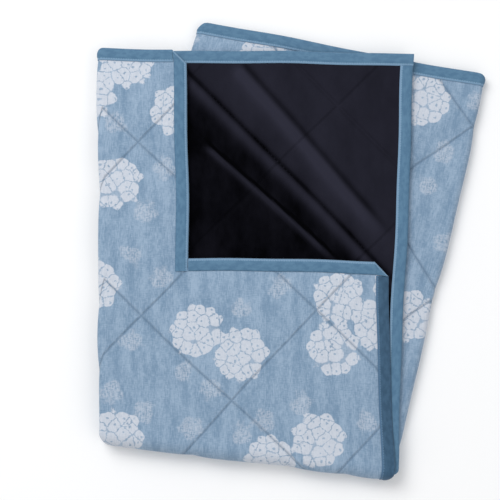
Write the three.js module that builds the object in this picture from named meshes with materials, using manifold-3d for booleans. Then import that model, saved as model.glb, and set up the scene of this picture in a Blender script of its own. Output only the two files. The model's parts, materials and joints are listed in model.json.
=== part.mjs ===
// A quilted sauna blanket, folded once across its waist and lying flat, in millimetres with +Z up.
// It is a long bag: the head half opens down one side like a sleeping bag and its cover has a square
// notch at the shoulder, and the foot half is a closed pocket. Every panel is a quilt of three plies:
// a printed face cloth, wadding, and a plush lining. Woven tape binds each cut edge. Each ply is a
// flat solid on each panel and a half ring round each fold, so that the waist fold can open.
import * as THREE from "three";
import { mergeVertices } from "three/addons/utils/BufferGeometryUtils.js";
import Module from "manifold-3d";

const manifold = await Module();
manifold.setup();

// Plies of the quilt
const FACE_THICKNESS = 1.2;
const WADDING_THICKNESS = 6;
const LINING_THICKNESS = 1.2;
const PLY_GAP = 0.3;
const PANEL_GAP = 0.6;

// Tape that binds the cut edges
const BINDING_WIDTH = 18;
const BINDING_WALL = 1.2;

// Play between pieces that meet end to end
const MEETING_GAP = 0.3;

// Plan of the waist fold and of the head half above it
const WAIST_LENGTH = 402;
const WAIST_SKEW = 7.4;
const HEAD_LENGTH = 530;
const HEAD_LEAN = 0.9;
const HEAD_WIDTH = 436;
const HEAD_TOP_TILT = 0.7;

// Plan of the cover's shoulder notch
const COVER_STRIP = 118;
const NOTCH_DEPTH = 292;
const NOTCH_LEAN = 0.5;
const NOTCH_FOOT_TILT = 0.9;
const COVER_SETBACK = 6;

// Plan of the foot half, which lies askew under the head half
const FOOT_LENGTH = 587;
const FOOT_LEAN = 13.1;
const FOOT_WIDTH = 398;
const FOOT_TOP_TILT = 10.8;
const FOOT_SETBACK = 12;

const ROLL_STEPS = 14;

// What follows from the sizes above
const QUILT_THICKNESS = FACE_THICKNESS + WADDING_THICKNESS + LINING_THICKNESS + 2 * PLY_GAP;
const PANEL_PITCH = QUILT_THICKNESS + PANEL_GAP;
const WAIST_HEIGHT = 2 * PANEL_PITCH - PANEL_GAP / 2;
const ROLL_RADIUS = QUILT_THICKNESS + PANEL_GAP / 2;

const radians = THREE.MathUtils.degToRad;

// A point at a distance from another, at an angle in degrees from +X
const away = (from, distance, angle) =>
  new THREE.Vector2(Math.cos(radians(angle)), Math.sin(radians(angle))).multiplyScalar(distance).add(from);

const waistLeft = new THREE.Vector2(0, 0);
const alongWaist = (distance) => away(waistLeft, distance, -WAIST_SKEW);
const waistRight = alongWaist(WAIST_LENGTH);

const headTopLeft = away(waistLeft, HEAD_LENGTH, 90 + HEAD_LEAN);
const headTopRight = away(headTopLeft, HEAD_WIDTH, -HEAD_TOP_TILT);

const notchTop = away(headTopLeft, COVER_STRIP, -HEAD_TOP_TILT);
const notchCorner = away(notchTop, NOTCH_DEPTH, -90 + NOTCH_LEAN);
const coverWaistRight = alongWaist(WAIST_LENGTH - COVER_SETBACK);
const coverShoulder = meeting(
  notchCorner,
  away(notchCorner, 1, -NOTCH_FOOT_TILT),
  coverWaistRight,
  away(coverWaistRight, 1, 90 + HEAD_LEAN),
);

const footTopLeft = away(waistLeft, FOOT_LENGTH, 90 - FOOT_LEAN);
const footTopRight = away(footTopLeft, FOOT_WIDTH, -FOOT_TOP_TILT);
const footWaistRight = alongWaist(WAIST_LENGTH - FOOT_SETBACK);

// Outlines run anticlockwise. Each edge is either bound with tape or runs into a fold.
const backOutline = {
  corners: [waistLeft, waistRight, headTopRight, headTopLeft],
  bound: [null, "side_binding", "top_binding", null],
};
const coverOutline = {
  corners: [waistLeft, coverWaistRight, coverShoulder, notchCorner, notchTop, headTopLeft],
  bound: [null, "side_binding", "notch_foot_binding", "notch_side_binding", "top_binding", null],
};
const footOutline = {
  corners: [waistLeft, footWaistRight, footTopRight, footTopLeft],
  bound: [null, null, "top_binding", null],
};

// Where the line through a and b crosses the line through c and d
function meeting(a, b, c, d) {
  const first = b.clone().sub(a);
  const second = d.clone().sub(c);
  const share = c.clone().sub(a).cross(second) / first.cross(second);
  return a.clone().addScaledVector(first, share);
}

// An outline with each edge moved inwards by a distance of its own
function inset(outline, distanceOfEdge) {
  const { corners } = outline;
  const count = corners.length;
  const moved = corners.map((corner, i) => {
    const next = corners[(i + 1) % count];
    const along = next.clone().sub(corner).normalize();
    const inward = new THREE.Vector2(-along.y, along.x).multiplyScalar(distanceOfEdge(i));
    return [corner.clone().add(inward), next.clone().add(inward)];
  });
  return corners.map((_, i) => meeting(...moved[(i + count - 1) % count], ...moved[i]));
}

const cloth = {
  face: new THREE.MeshStandardMaterial({ color: "#8fb0cb", roughness: 0.9, metalness: 0 }),
  wadding: new THREE.MeshStandardMaterial({ color: "#e9e7e1", roughness: 1, metalness: 0 }),
  lining: new THREE.MeshStandardMaterial({ color: "#1b1c2a", roughness: 0.75, metalness: 0 }),
  binding: new THREE.MeshStandardMaterial({ color: "#5d87a9", roughness: 0.7, metalness: 0 }),
};

const blanket = new THREE.Group();

function addPiece(name, geometry, kind) {
  const mesh = new THREE.Mesh(geometry, cloth[kind].clone());
  mesh.name = name;
  blanket.add(mesh);
  return mesh;
}

// An upright prism over an outline, from one height to another
function prism(corners, low, high) {
  const geometry = new THREE.ExtrudeGeometry(new THREE.Shape(corners), {
    depth: high - low,
    bevelEnabled: false,
  });
  return geometry.translate(0, 0, low);
}

function toSolid(geometry) {
  const bare = geometry.clone();
  bare.deleteAttribute("normal");
  bare.deleteAttribute("uv");
  const merged = mergeVertices(bare, 1e-4);
  return new manifold.Manifold(
    new manifold.Mesh({
      numProp: 3,
      vertProperties: new Float32Array(merged.attributes.position.array),
      triVerts: new Uint32Array(merged.index.array),
    }),
  );
}

function toGeometry(solid) {
  const mesh = solid.getMesh();
  const geometry = new THREE.BufferGeometry();
  geometry.setAttribute("position", new THREE.BufferAttribute(new Float32Array(mesh.vertProperties), 3));
  geometry.setIndex(new THREE.BufferAttribute(new Uint32Array(mesh.triVerts), 1));
  geometry.computeVertexNormals();
  return geometry;
}

// Plies of a panel with its face cloth up or down, each with the heights that it fills
function pliesOf(faceUp, low) {
  const upwards = [
    { kind: "lining", thickness: LINING_THICKNESS },
    { kind: "wadding", thickness: WADDING_THICKNESS },
    { kind: "face", thickness: FACE_THICKNESS },
  ];
  const stack = faceUp ? upwards : upwards.reverse();
  let height = low;
  return stack.map(({ kind, thickness }) => {
    const ply = { kind, low: height, high: height + thickness };
    height += thickness + PLY_GAP;
    return ply;
  });
}

// Three plies: the cloths stop at the tape's inner edge, and the wadding runs into the tape
function addPlies(name, outline, faceUp, low) {
  for (const ply of pliesOf(faceUp, low)) {
    const underTape = ply.kind === "wadding" ? BINDING_WALL + MEETING_GAP : BINDING_WIDTH + MEETING_GAP;
    const corners = inset(outline, (i) => (outline.bound[i] ? underTape : MEETING_GAP));
    addPiece(`${name}_${ply.kind}`, prism(corners, ply.low, ply.high), ply.kind);
  }
}

// One length of tape, folded over the edge as a channel and mitred at the panel's corners
function addBinding(name, outline, edge, low) {
  const count = outline.corners.length;
  const bandAt = (outer, inner, endGap) => {
    const outside = inset(outline, (i) => (outline.bound[i] ? outer : MEETING_GAP));
    const inside = inset(outline, (i) => (outline.bound[i] ? inner : MEETING_GAP));
    const next = (edge + 1) % count;
    const along = outline.corners[next].clone().sub(outline.corners[edge]).setLength(endGap);
    return [
      outside[edge].clone().add(along),
      outside[next].clone().sub(along),
      inside[next].clone().sub(along),
      inside[edge].clone().add(along),
    ];
  };
  const band = toSolid(prism(bandAt(0, BINDING_WIDTH, MEETING_GAP), low, low + QUILT_THICKNESS));
  const slotLow = low + BINDING_WALL;
  const slotHigh = low + QUILT_THICKNESS - BINDING_WALL;
  const slot = toSolid(prism(bandAt(BINDING_WALL, BINDING_WIDTH * 2, -BINDING_WIDTH), slotLow, slotHigh));
  addPiece(name, toGeometry(band.subtract(slot)), "binding");
}

function addBindings(name, outline, low) {
  outline.bound.forEach((title, edge) => {
    if (title) addBinding(`${name}_${title}`, outline, edge, low);
  });
}

// Half a ring round a fold, bulging away from the panel whose edge runs from start to end
function halfRing(start, end, inner, outer, height) {
  const along = end.clone().sub(start).normalize();
  const section = new THREE.Shape();
  section.absarc(0, 0, outer, -Math.PI / 2, Math.PI / 2, false);
  section.absarc(0, 0, inner, Math.PI / 2, -Math.PI / 2, true);
  section.closePath();
  const geometry = new THREE.ExtrudeGeometry(section, {
    depth: end.distanceTo(start),
    bevelEnabled: false,
    curveSegments: ROLL_STEPS,
  });
  const outward = new THREE.Vector3(along.y, -along.x, 0);
  const backward = new THREE.Vector3(-along.x, -along.y, 0);
  const placing = new THREE.Matrix4().makeBasis(outward, new THREE.Vector3(0, 0, 1), backward);
  placing.setPosition(end.x, end.y, height);
  return geometry.applyMatrix4(placing);
}

// Radii of each ply round a fold, counted outwards from the clearance at its heart
function ringsOf(kinds, heart) {
  const thicknessOf = { face: FACE_THICKNESS, wadding: WADDING_THICKNESS, lining: LINING_THICKNESS };
  let radius = heart;
  return kinds.map((kind) => {
    const ring = { kind, inner: radius, outer: radius + thicknessOf[kind] };
    radius += thicknessOf[kind] + PLY_GAP;
    return ring;
  });
}

// A fold that joins two panels down one side: the plies turn round it, and the tape turns at its top
function addSideFold(name, waistEnd, topEnd, onLeft, height) {
  const length = waistEnd.distanceTo(topEnd);
  const pointAt = (distance) => waistEnd.clone().lerp(topEnd, distance / length);
  const skew = Math.abs(Math.tan(topEnd.clone().sub(waistEnd).angle() - radians(90 - WAIST_SKEW)));
  const low = pointAt(ROLL_RADIUS * skew + MEETING_GAP);
  const underTape = pointAt(length - BINDING_WIDTH - MEETING_GAP);
  const ring = (from, to, inner, outer) =>
    onLeft ? halfRing(to, from, inner, outer, height) : halfRing(from, to, inner, outer, height);
  for (const ply of ringsOf(["lining", "wadding", "face"], PANEL_GAP / 2)) {
    addPiece(`${name}_${ply.kind}`, ring(low, underTape, ply.inner, ply.outer), ply.kind);
  }
  const tapeLow = pointAt(length - BINDING_WIDTH);
  addPiece(`${name}_binding`, ring(tapeLow, topEnd, PANEL_GAP / 2, ROLL_RADIUS), "binding");
}

// The waist fold: the back's plies turn inside, and the cover's plies turn round the outside
function addWaistFold(name, kinds, heart) {
  for (const ply of ringsOf(kinds, heart)) {
    const geometry = halfRing(alongWaist(-ROLL_RADIUS), waistRight, ply.inner, ply.outer, WAIST_HEIGHT);
    addPiece(`${name}_${ply.kind}`, geometry, ply.kind);
  }
}

const panels = [
  { name: "foot_base", outline: footOutline, faceUp: false },
  { name: "foot_top", outline: footOutline, faceUp: true },
  { name: "back", outline: backOutline, faceUp: false },
  { name: "cover", outline: coverOutline, faceUp: true },
];
panels.forEach(({ name, outline, faceUp }, level) => {
  addPlies(name, outline, faceUp, level * PANEL_PITCH);
  addBindings(name, outline, level * PANEL_PITCH);
});

const footFoldHeight = PANEL_PITCH - PANEL_GAP / 2;
const headFoldHeight = footFoldHeight + 2 * PANEL_PITCH;
addSideFold("head_side_fold", waistLeft, headTopLeft, true, headFoldHeight);
addSideFold("foot_left_fold", waistLeft, footTopLeft, true, footFoldHeight);
addSideFold("foot_right_fold", footWaistRight, footTopRight, false, footFoldHeight);
addWaistFold("waist_inner", ["face", "wadding", "lining"], PANEL_GAP / 2);
addWaistFold("waist_outer", ["lining", "wadding", "face"], ROLL_RADIUS + PANEL_GAP);

// The origin is the middle of the underside
blanket.updateMatrixWorld(true);
const box = new THREE.Box3().setFromObject(blanket);
const middle = box.getCenter(new THREE.Vector3());
for (const mesh of blanket.children) mesh.geometry.translate(-middle.x, -middle.y, -box.min.z);

export default blanket;
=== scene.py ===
"""A quilted sauna blanket, folded once across its waist: printed cotton outside, plush inside, taped."""

import json
import logging
import math
from dataclasses import dataclass, field
from enum import Enum

import bpy
import numpy as np
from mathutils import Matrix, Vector


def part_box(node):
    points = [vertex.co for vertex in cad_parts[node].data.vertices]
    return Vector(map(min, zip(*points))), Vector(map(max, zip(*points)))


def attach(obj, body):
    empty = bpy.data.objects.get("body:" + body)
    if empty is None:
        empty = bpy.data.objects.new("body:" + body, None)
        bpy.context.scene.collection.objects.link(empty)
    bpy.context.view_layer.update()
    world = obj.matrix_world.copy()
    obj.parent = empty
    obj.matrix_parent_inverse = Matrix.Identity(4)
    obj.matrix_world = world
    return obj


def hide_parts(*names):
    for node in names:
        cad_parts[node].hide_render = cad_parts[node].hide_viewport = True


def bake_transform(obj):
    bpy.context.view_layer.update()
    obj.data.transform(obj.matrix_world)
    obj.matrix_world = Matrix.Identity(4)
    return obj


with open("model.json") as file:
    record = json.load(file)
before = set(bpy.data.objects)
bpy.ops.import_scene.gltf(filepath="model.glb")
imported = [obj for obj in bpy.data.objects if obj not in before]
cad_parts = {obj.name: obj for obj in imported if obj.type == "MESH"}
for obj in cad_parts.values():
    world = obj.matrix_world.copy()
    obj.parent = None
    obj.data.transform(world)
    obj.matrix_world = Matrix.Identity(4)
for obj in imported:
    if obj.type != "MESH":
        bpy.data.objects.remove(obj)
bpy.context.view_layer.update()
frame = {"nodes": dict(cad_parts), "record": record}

log = logging.getLogger("blanket")

MM = 0.001
UP = np.array([0.0, 0.0, 1.0])


class Body(Enum):
    """The two rigid halves of the blanket."""

    HEAD = "head_half"
    FOOT = "foot_half"


class Ply(Enum):
    """A layer of the quilt, with the share of the quilt's thickness that it fills, counted from the face."""

    FACE = (0.0, 0.13)
    WADDING = (0.17, 0.83)
    LINING = (0.87, 1.0)


class TapeShade(Enum):
    """The tape's two tones: its own colour, and the same colour darkened with painted shade for the cover's
    open side.
    """

    MID = "mid"
    DEEP = "deep"


class Slot(Enum):
    """The record's material slots."""

    COTTON = "printed_cotton"
    WADDING = "polyester_wadding"
    PLUSH = "navy_plush"
    TAPE = "woven_tape"


# --------------------------------------------------------------------------- plan geometry


def corner(node: str, across: float, up: float) -> np.ndarray:
    """Finds the plan point of a CAD node that lies furthest in a direction.

    Args:
        node: the CAD node's name.
        across: the direction's share along +X.
        up: the direction's share along +Y.

    Returns:
        The point's X and Y, in metres.
    """
    mesh = frame["nodes"][node].data
    points = np.empty(len(mesh.vertices) * 3)
    mesh.vertices.foreach_get("co", points)
    plan = points.reshape(-1, 3)[:, :2]
    return plan[np.argmax(plan @ np.array([across, up]))]


def unit(vector: np.ndarray) -> np.ndarray:
    """Returns vectors scaled to length one, along the last axis."""
    return vector / np.linalg.norm(vector, axis=-1, keepdims=True)


def lerp(a: np.ndarray, b: np.ndarray, share: np.ndarray) -> np.ndarray:
    """Returns points that divide a to b by each share: a plus share times the step from a to b."""
    return a + (b - a) * np.asarray(share)[..., None]


def lift(plan: np.ndarray, height: float) -> np.ndarray:
    """Returns plan points as points in space at one height."""
    return np.concatenate([plan, np.full(plan.shape[:-1] + (1,), height)], axis=-1)


def inset(corners: np.ndarray, distances: list[float]) -> np.ndarray:
    """Moves each edge of an anticlockwise outline inwards and finds where neighbouring edges then cross.

    Args:
        corners: the outline's corners, one a row.
        distances: how far each edge moves, starting with the edge that leaves the first corner.

    Returns:
        The moved outline's corners, in the same order.
    """
    along = unit(np.roll(corners, -1, axis=0) - corners)
    inward = np.stack([-along[:, 1], along[:, 0]], axis=1)
    start = corners + inward * np.array(distances)[:, None]
    before, before_along = np.roll(start, 1, axis=0), np.roll(along, 1, axis=0)
    gap = start - before
    cross = before_along[:, 0] * along[:, 1] - before_along[:, 1] * along[:, 0]
    share = (gap[:, 0] * along[:, 1] - gap[:, 1] * along[:, 0]) / cross
    return before + before_along * share[:, None]


def distance_to_edges(points: np.ndarray, edges: list[tuple[np.ndarray, np.ndarray]]) -> np.ndarray:
    """Measures how far plan points are from the nearest of some straight edges.

    Args:
        points: plan points, in any array shape.
        edges: pairs of end points.

    Returns:
        The distance at each point: the length from the point to its foot on the nearest segment.
    """
    nearest = np.full(points.shape[:-1], 1.0)
    for start, end in edges:
        step = end - start
        share = np.clip(((points - start) @ step) / (step @ step), 0, 1)
        nearest = np.minimum(nearest, np.linalg.norm(points - start - share[..., None] * step, axis=-1))
    return nearest


@dataclass(frozen=True)
class Waist:
    """The waist fold: its axis in plan and its height."""

    left: np.ndarray
    along: np.ndarray
    height: float

    @property
    def outward(self) -> np.ndarray:
        """Returns the plan direction in which the fold bulges."""
        return np.array([self.along[1], -self.along[0]])

    def at(self, distance: np.ndarray) -> np.ndarray:
        """Returns plan points on the axis at distances from its left end."""
        return self.left + np.asarray(distance)[..., None] * self.along

    def nearest(self, point: np.ndarray) -> np.ndarray:
        """Returns the point of the axis nearest to a plan point."""
        return self.at((point - self.left) @ self.along)


def head_outlines(waist: Waist) -> tuple[np.ndarray, np.ndarray]:
    """Reads the corners of the head half's two panels from the frame.

    Args:
        waist: the waist fold.

    Returns:
        The cover's six corners and the back panel's four, anticlockwise from the waist's left end.
    """
    top_left = corner("cover_top_binding", -1, 1)
    cover = [
        waist.left,
        waist.nearest(corner("cover_side_binding", 1, -1)),
        corner("cover_side_binding", 1, 1),
        corner("cover_notch_side_binding", 1, -0.3),
        corner("cover_notch_side_binding", 1, 1),
        top_left,
    ]
    back_right = waist.nearest(corner("back_side_binding", 1, -1))
    back = [waist.left, back_right, corner("back_top_binding", 1, 1), top_left]
    return np.array(cover), np.array(back)


def waist_of_frame() -> Waist:
    """Reads the waist fold from the frame's one joint.

    Returns:
        The fold's left end, its direction and its height.
    """
    joint = next(j for j in frame["record"]["behaviour"]["joints"] if j["name"] == "waist_fold")
    position, axis = np.array(joint["pos_m"]), np.array(joint["axis"])
    return Waist(left=position[:2], along=unit(axis[:2]), height=float(position[2]))


# --------------------------------------------------------------------------- the cloth itself


@dataclass(frozen=True)
class Quilting:
    """Diamond quilting: two families of parallel stitch lines, in metres on the flat cloth."""

    pitch: float = 170 * MM
    rising_offset: float = -72.5 * MM
    falling_offset: float = 147.7 * MM
    tilt: float = math.radians(46.5)
    full: float = 9.0 * MM
    at_stitch: float = 4.2 * MM
    at_tape: float = 4.0 * MM
    swell: float = 13 * MM
    tape_swell: float = 16 * MM

    @property
    def normals(self) -> tuple[np.ndarray, np.ndarray]:
        """Returns the directions across the rising and the falling lines."""
        c, s = math.cos(self.tilt), math.sin(self.tilt)
        return np.array([s, -c]), np.array([c, s])

    def distance(self, cloth: np.ndarray) -> np.ndarray:
        """Measures how far points of the flat cloth are from the nearest stitch line.

        Args:
            cloth: flat cloth points, in metres.

        Returns:
            The distance: across each family the coordinate wrapped to half a pitch either side.
        """
        nearest = []
        for normal, offset in zip(self.normals, (self.rising_offset, self.falling_offset)):
            across = (cloth @ normal - offset) / self.pitch
            nearest.append(np.abs(across - np.round(across)) * self.pitch)
        return np.minimum(*nearest)

    def thickness(self, cloth: np.ndarray, from_tape: np.ndarray) -> np.ndarray:
        """Works out how thick the quilt stands.

        It is thin at a stitch line and under tape, and swells to its full loft between them: the loft is
        one minus a falling exponential of the distance from the line, and the same from the tape.

        Args:
            cloth: flat cloth points, in metres.
            from_tape: the distance of each point from the tape's inner edge.

        Returns:
            The thickness at each point, in metres.
        """
        loft = 1 - np.exp(-((self.distance(cloth) / self.swell) ** 1.25))
        body = self.at_stitch + (self.full - self.at_stitch) * loft
        rise = 1 - np.exp(-np.clip(from_tape, 0, None) / self.tape_swell)
        return self.at_tape + (body - self.at_tape) * rise


@dataclass(frozen=True)
class FlowerPrint:
    """A printed repeat of flower heads: bold ones and small faded ones, placed in millimetres."""

    bold: tuple[tuple[float, float], ...]
    faded: tuple[tuple[float, float], ...]
    repeat: tuple[float, float] = (420.0, 600.0)

    def distance(self, cloth: np.ndarray, places: tuple[tuple[float, float], ...]) -> np.ndarray:
        """Measures how far points of the flat cloth are from the nearest flower head of one kind.

        Args:
            cloth: flat cloth points, in metres.
            places: the middles of the flower heads in one repeat, in millimetres.

        Returns:
            The distance in metres, with the repeat wrapped both ways.
        """
        tile = np.array(self.repeat) * MM
        nearest = np.full(cloth.shape[:-1], 1.0)
        for place in places:
            step = cloth - np.array(place) * MM
            step -= np.round(step / tile) * tile
            nearest = np.minimum(nearest, np.linalg.norm(step, axis=-1))
        return nearest


COVER_PRINT = FlowerPrint(
    bold=((26, 510), (-24, 464), (96, 443), (11, 341), (-17, 199), (126, 136), (187, 104),
          (15, -5), (225, -43), (289, -11), (312, 111), (320, 181), (373, 146)),
    faded=((11, 422), (78, 362), (33, 240), (77, 209), (183, 163), (238, 197), (106, 82), (147, 58),
           (9, 54), (51, 26), (36, 121), (116, 5), (184, -5), (215, 13), (357, 12), (267, 37), (52, 300)),
)
FOOT_PRINT = FlowerPrint(
    bold=((326, 548), (367, 250), (92, 548), (180, 430), (60, 300), (230, 150), (120, 60), (340, 60)),
    faded=((367, 482), (354, 429), (402, 560), (395, 360), (330, 330), (250, 330), (150, 200), (40, 160),
           (300, 250), (230, 500)),
)


@dataclass(frozen=True)
class CornerCut:
    """A corner drawn in: points past a line across it are crowded up to that line."""

    corner: np.ndarray
    outward: np.ndarray
    depth: float
    band: float = 12 * MM

    def draw_in(self, points: np.ndarray) -> np.ndarray:
        """Moves points near the corner inwards.

        The distance past the start of the band is replaced by the band's width times the hyperbolic
        tangent of its share of the band, so that points keep their order and none passes the line.

        Args:
            points: points in plan or in space.

        Returns:
            The moved points.
        """
        step = points[..., :2] - self.corner
        past = step @ self.outward + self.depth + self.band
        near = (past > 0) & (np.linalg.norm(step, axis=-1) < 60 * MM)
        drawn = np.where(near, past - self.band * np.tanh(past / self.band), 0.0)
        moved = points.copy()
        moved[..., :2] -= drawn[..., None] * self.outward
        return moved


@dataclass(frozen=True)
class Drape:
    """The slight waver, drawn-in corners and drooping edge that laid cloth has."""

    cuts: tuple[CornerCut, ...]
    edge_start: np.ndarray
    edge_end: np.ndarray
    droop: float = 4.5 * MM
    droop_width: float = 26 * MM
    cover_from: float = 28.9 * MM

    def settle(self, points: np.ndarray) -> np.ndarray:
        """Settles points of the squarely laid bundle.

        Adds slow sine waves of the plan position, about a millimetre sideways and half one up, and the
        rise is less the nearer a point is to the surface that the bundle lies on. The cover's open side
        droops by a smooth step of the distance from its edge.

        Args:
            points: points in space, in metres.

        Returns:
            The moved points.
        """
        x, y, z = points[..., 0], points[..., 1], points[..., 2]
        lifted = np.clip(z / (38 * MM), 0, 1)
        sideways = 1.1 * MM * np.sin(y * 17 + 0.6) + 0.5 * MM * np.sin(y * 41 + x * 9)
        lengthways = 1.0 * MM * np.sin(x * 19 + 1.9) + 0.4 * MM * np.sin(x * 47 + y * 7)
        rise = 0.9 * MM * np.sin(x * 13 + y * 8) * np.sin(y * 15 - x * 5 + 1.0) * lifted
        settled = points + np.stack([sideways, lengthways, rise - self._fall(points)], axis=-1)
        for cut in self.cuts:
            settled = cut.draw_in(settled)
        return settled

    def _fall(self, points: np.ndarray) -> np.ndarray:
        """Returns how far each point of the cover droops at the open side, fading out at the edge's ends."""
        step = self.edge_end - self.edge_start
        length = np.linalg.norm(step)
        offset = points[..., :2] - self.edge_start
        along = offset @ step / length
        off_edge = np.abs(offset[..., 0] * step[1] - offset[..., 1] * step[0]) / length
        share = np.clip(1 - off_edge / self.droop_width, 0, 1)
        ends = np.clip(along / (50 * MM), 0, 1) * np.clip((length + 20 * MM - along) / (20 * MM), 0, 1)
        return self.droop * share**1.3 * ends * (points[..., 2] > self.cover_from)


# --------------------------------------------------------------------------- meshes


@dataclass
class Sheet:
    """A grid of quilt: its middle, the way out of its face, its flat cloth and what is printed on it."""

    middle: np.ndarray
    normal: np.ndarray
    cloth: np.ndarray
    quilting: np.ndarray
    thickness: np.ndarray
    bold: np.ndarray
    faded: np.ndarray
    # painted highlight and shade for the plush's colour, lighter towards 1
    lay: np.ndarray
    keep: np.ndarray

    def surface(self, share: float) -> np.ndarray:
        """Returns the surface at a share of the thickness, 0 at the face and 1 at the lining."""
        return self.middle + self.normal * (self.thickness * (0.5 - share))[..., None]

    def quads(self) -> np.ndarray:
        """Returns the kept cells as corner numbers, wound so that they face out of the face cloth."""
        rows, columns = self.middle.shape[:2]
        index = np.arange(rows * columns).reshape(rows, columns)
        cells = np.stack([index[:-1, :-1], index[1:, :-1], index[1:, 1:], index[:-1, 1:]], axis=-1)
        return cells[self.keep]


def make_object(name: str, points: np.ndarray, faces: np.ndarray, smooth: np.ndarray) -> bpy.types.Object:
    """Puts a computed surface into the scene.

    Args:
        name: the piece's name.
        points: vertices, one a row, in metres in the row frame.
        faces: quads as vertex numbers, one a row.
        smooth: whether each quad is shaded smooth.

    Returns:
        The new object, at the origin.
    """
    mesh = bpy.data.meshes.new(name)
    mesh.from_pydata(points.tolist(), [], faces.tolist())
    mesh.polygons.foreach_set("use_smooth", smooth)
    mesh.update()
    piece = bpy.data.objects.new(name, mesh)
    bpy.context.scene.collection.objects.link(piece)
    return piece


def set_uv(piece: bpy.types.Object, name: str, flat: np.ndarray) -> None:
    """Gives a piece a UV map of its own from a flat place at each vertex, in metres."""
    mesh = piece.data
    vertex = np.empty(len(mesh.loops), dtype=np.int64)
    mesh.loops.foreach_get("vertex_index", vertex)
    layer = mesh.uv_layers.new(name=name)
    layer.data.foreach_set("uv", flat[vertex].astype(np.float32).ravel())


def set_attribute(piece: bpy.types.Object, name: str, values: np.ndarray) -> None:
    """Stores a number at each vertex of a piece, under a name that a material reads."""
    attribute = piece.data.attributes.new(name, "FLOAT", "POINT")
    attribute.data.foreach_set("value", values.astype(np.float32))


def closed_layer(name: str, sheet: Sheet, ply: Ply, drape: Drape) -> bpy.types.Object:
    """Makes one ply of a sheet as a closed body.

    Two copies of the grid stand at the ply's two shares of the thickness, and a rim of quads joins them
    along every edge that only one cell uses.

    Args:
        name: the piece's name.
        sheet: the grid of quilt.
        ply: the ply to make.
        drape: how the bundle has settled.

    Returns:
        The new object, with its flat cloth as its UV map.
    """
    outer, inner = (drape.settle(sheet.surface(share)).reshape(-1, 3) for share in ply.value)
    cells = sheet.quads()
    count = len(outer)
    edges = np.stack([cells, np.roll(cells, -1, axis=1)], axis=-1).reshape(-1, 2)
    key = edges.min(axis=1) * count + edges.max(axis=1)
    _, first, uses = np.unique(key, return_index=True, return_counts=True)
    rim = edges[first[uses == 1]]
    walls = np.stack([rim[:, 1], rim[:, 0], rim[:, 0] + count, rim[:, 1] + count], axis=1)
    faces = np.concatenate([walls, cells, cells[:, ::-1] + count])
    used, packed = np.unique(faces, return_inverse=True)
    smooth = np.arange(len(faces)) >= len(walls)
    points = np.concatenate([outer, inner])[used]
    piece = make_object(name, points, packed.reshape(faces.shape), smooth)
    grid_vertex = used % count
    set_uv(piece, "cloth", sheet.cloth.reshape(-1, 2)[grid_vertex])
    set_uv(piece, "quilting", sheet.quilting.reshape(-1, 2)[grid_vertex])
    for attribute in ("bold", "faded", "lay"):
        set_attribute(piece, attribute, getattr(sheet, attribute).ravel()[grid_vertex])
    return piece


def held(shares: np.ndarray, length: float) -> np.ndarray:
    """Adds a share close to each end, so that smooth shading turns only in the last hair of the length.

    Args:
        shares: rising shares from 0 to 1.
        length: the length that they divide, in metres.

    Returns:
        The shares with one more just inside each end.
    """
    hair = 0.12 * MM / length
    return np.concatenate([[0.0, hair], shares[1:-1], [1 - hair, 1.0]])


def steps(length: float, step: float) -> int:
    """Returns how many grid points a length takes at a step."""
    return max(3, int(round(length / step)) + 1)


# --------------------------------------------------------------------------- materials


def linear(code: str) -> tuple[float, float, float, float]:
    """Turns an sRGB hex colour to linear.

    Args:
        code: the colour as #rrggbb.

    Returns:
        Red, green, blue and an alpha of one.
    """
    parts = [int(code[i : i + 2], 16) / 255 for i in (1, 3, 5)]
    return tuple(p / 12.92 if p <= 0.04045 else ((p + 0.055) / 1.055) ** 2.4 for p in parts) + (1.0,)


def add_node(tree: bpy.types.NodeTree, kind: str, settings: dict, links: dict) -> bpy.types.Node:
    """Adds a node with its settings and its incoming links.

    Args:
        tree: the material's node tree.
        kind: the node's Blender type.
        settings: properties by name, or values of inputs by name or number.
        links: outgoing sockets by the input that they feed.

    Returns:
        The new node.
    """
    node = tree.nodes.new(kind)
    for key, value in settings.items():
        if isinstance(key, str) and key not in node.inputs.keys():
            setattr(node, key, value)
        else:
            node.inputs[key].default_value = value
    for key, socket in links.items():
        tree.links.new(socket, node.inputs[key])
    return node


def math_node(tree: bpy.types.NodeTree, operation: str, *values: object) -> bpy.types.NodeSocket:
    """Adds arithmetic on sockets and numbers.

    Args:
        tree: the material's node tree.
        operation: the Math node's operation.
        values: its inputs in order, each a socket or a number.

    Returns:
        The result's socket.
    """
    settings = {i: v for i, v in enumerate(values) if isinstance(v, (int, float))}
    links = {i: v for i, v in enumerate(values) if not isinstance(v, (int, float))}
    return add_node(tree, "ShaderNodeMath", {"operation": operation, **settings}, links).outputs[0]


def mix_colours(
    tree: bpy.types.NodeTree, share: object, first: object, second: object
) -> bpy.types.NodeSocket:
    """Adds a colour mix.

    Args:
        tree: the material's node tree.
        share: a socket from 0, all first, to 1, all second.
        first: a socket or a linear colour.
        second: a socket or a linear colour.

    Returns:
        The mixed colour's socket.
    """
    # Inputs 6 and 7 are the colour mix's own pair, and output 2 is its result.
    inputs = {6: first, 7: second}
    settings = {i: v for i, v in inputs.items() if isinstance(v, tuple)}
    links = {0: share, **{i: v for i, v in inputs.items() if not isinstance(v, tuple)}}
    return add_node(tree, "ShaderNodeMix", {"data_type": "RGBA", **settings}, links).outputs[2]


def band(tree: bpy.types.NodeTree, value: object, low: float, high: float) -> bpy.types.NodeSocket:
    """Adds a smooth step that is 1 below low and 0 above high."""
    settings = {"interpolation_type": "SMOOTHSTEP", 1: low, 2: high, 3: 1.0, 4: 0.0}
    return add_node(tree, "ShaderNodeMapRange", settings, {0: value}).outputs[0]


def set_shader(shader: bpy.types.Node, settings: dict[str, object]) -> None:
    """Sets constants on the shader's own sockets."""
    for name, value in settings.items():
        shader.inputs[name].default_value = value


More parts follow.
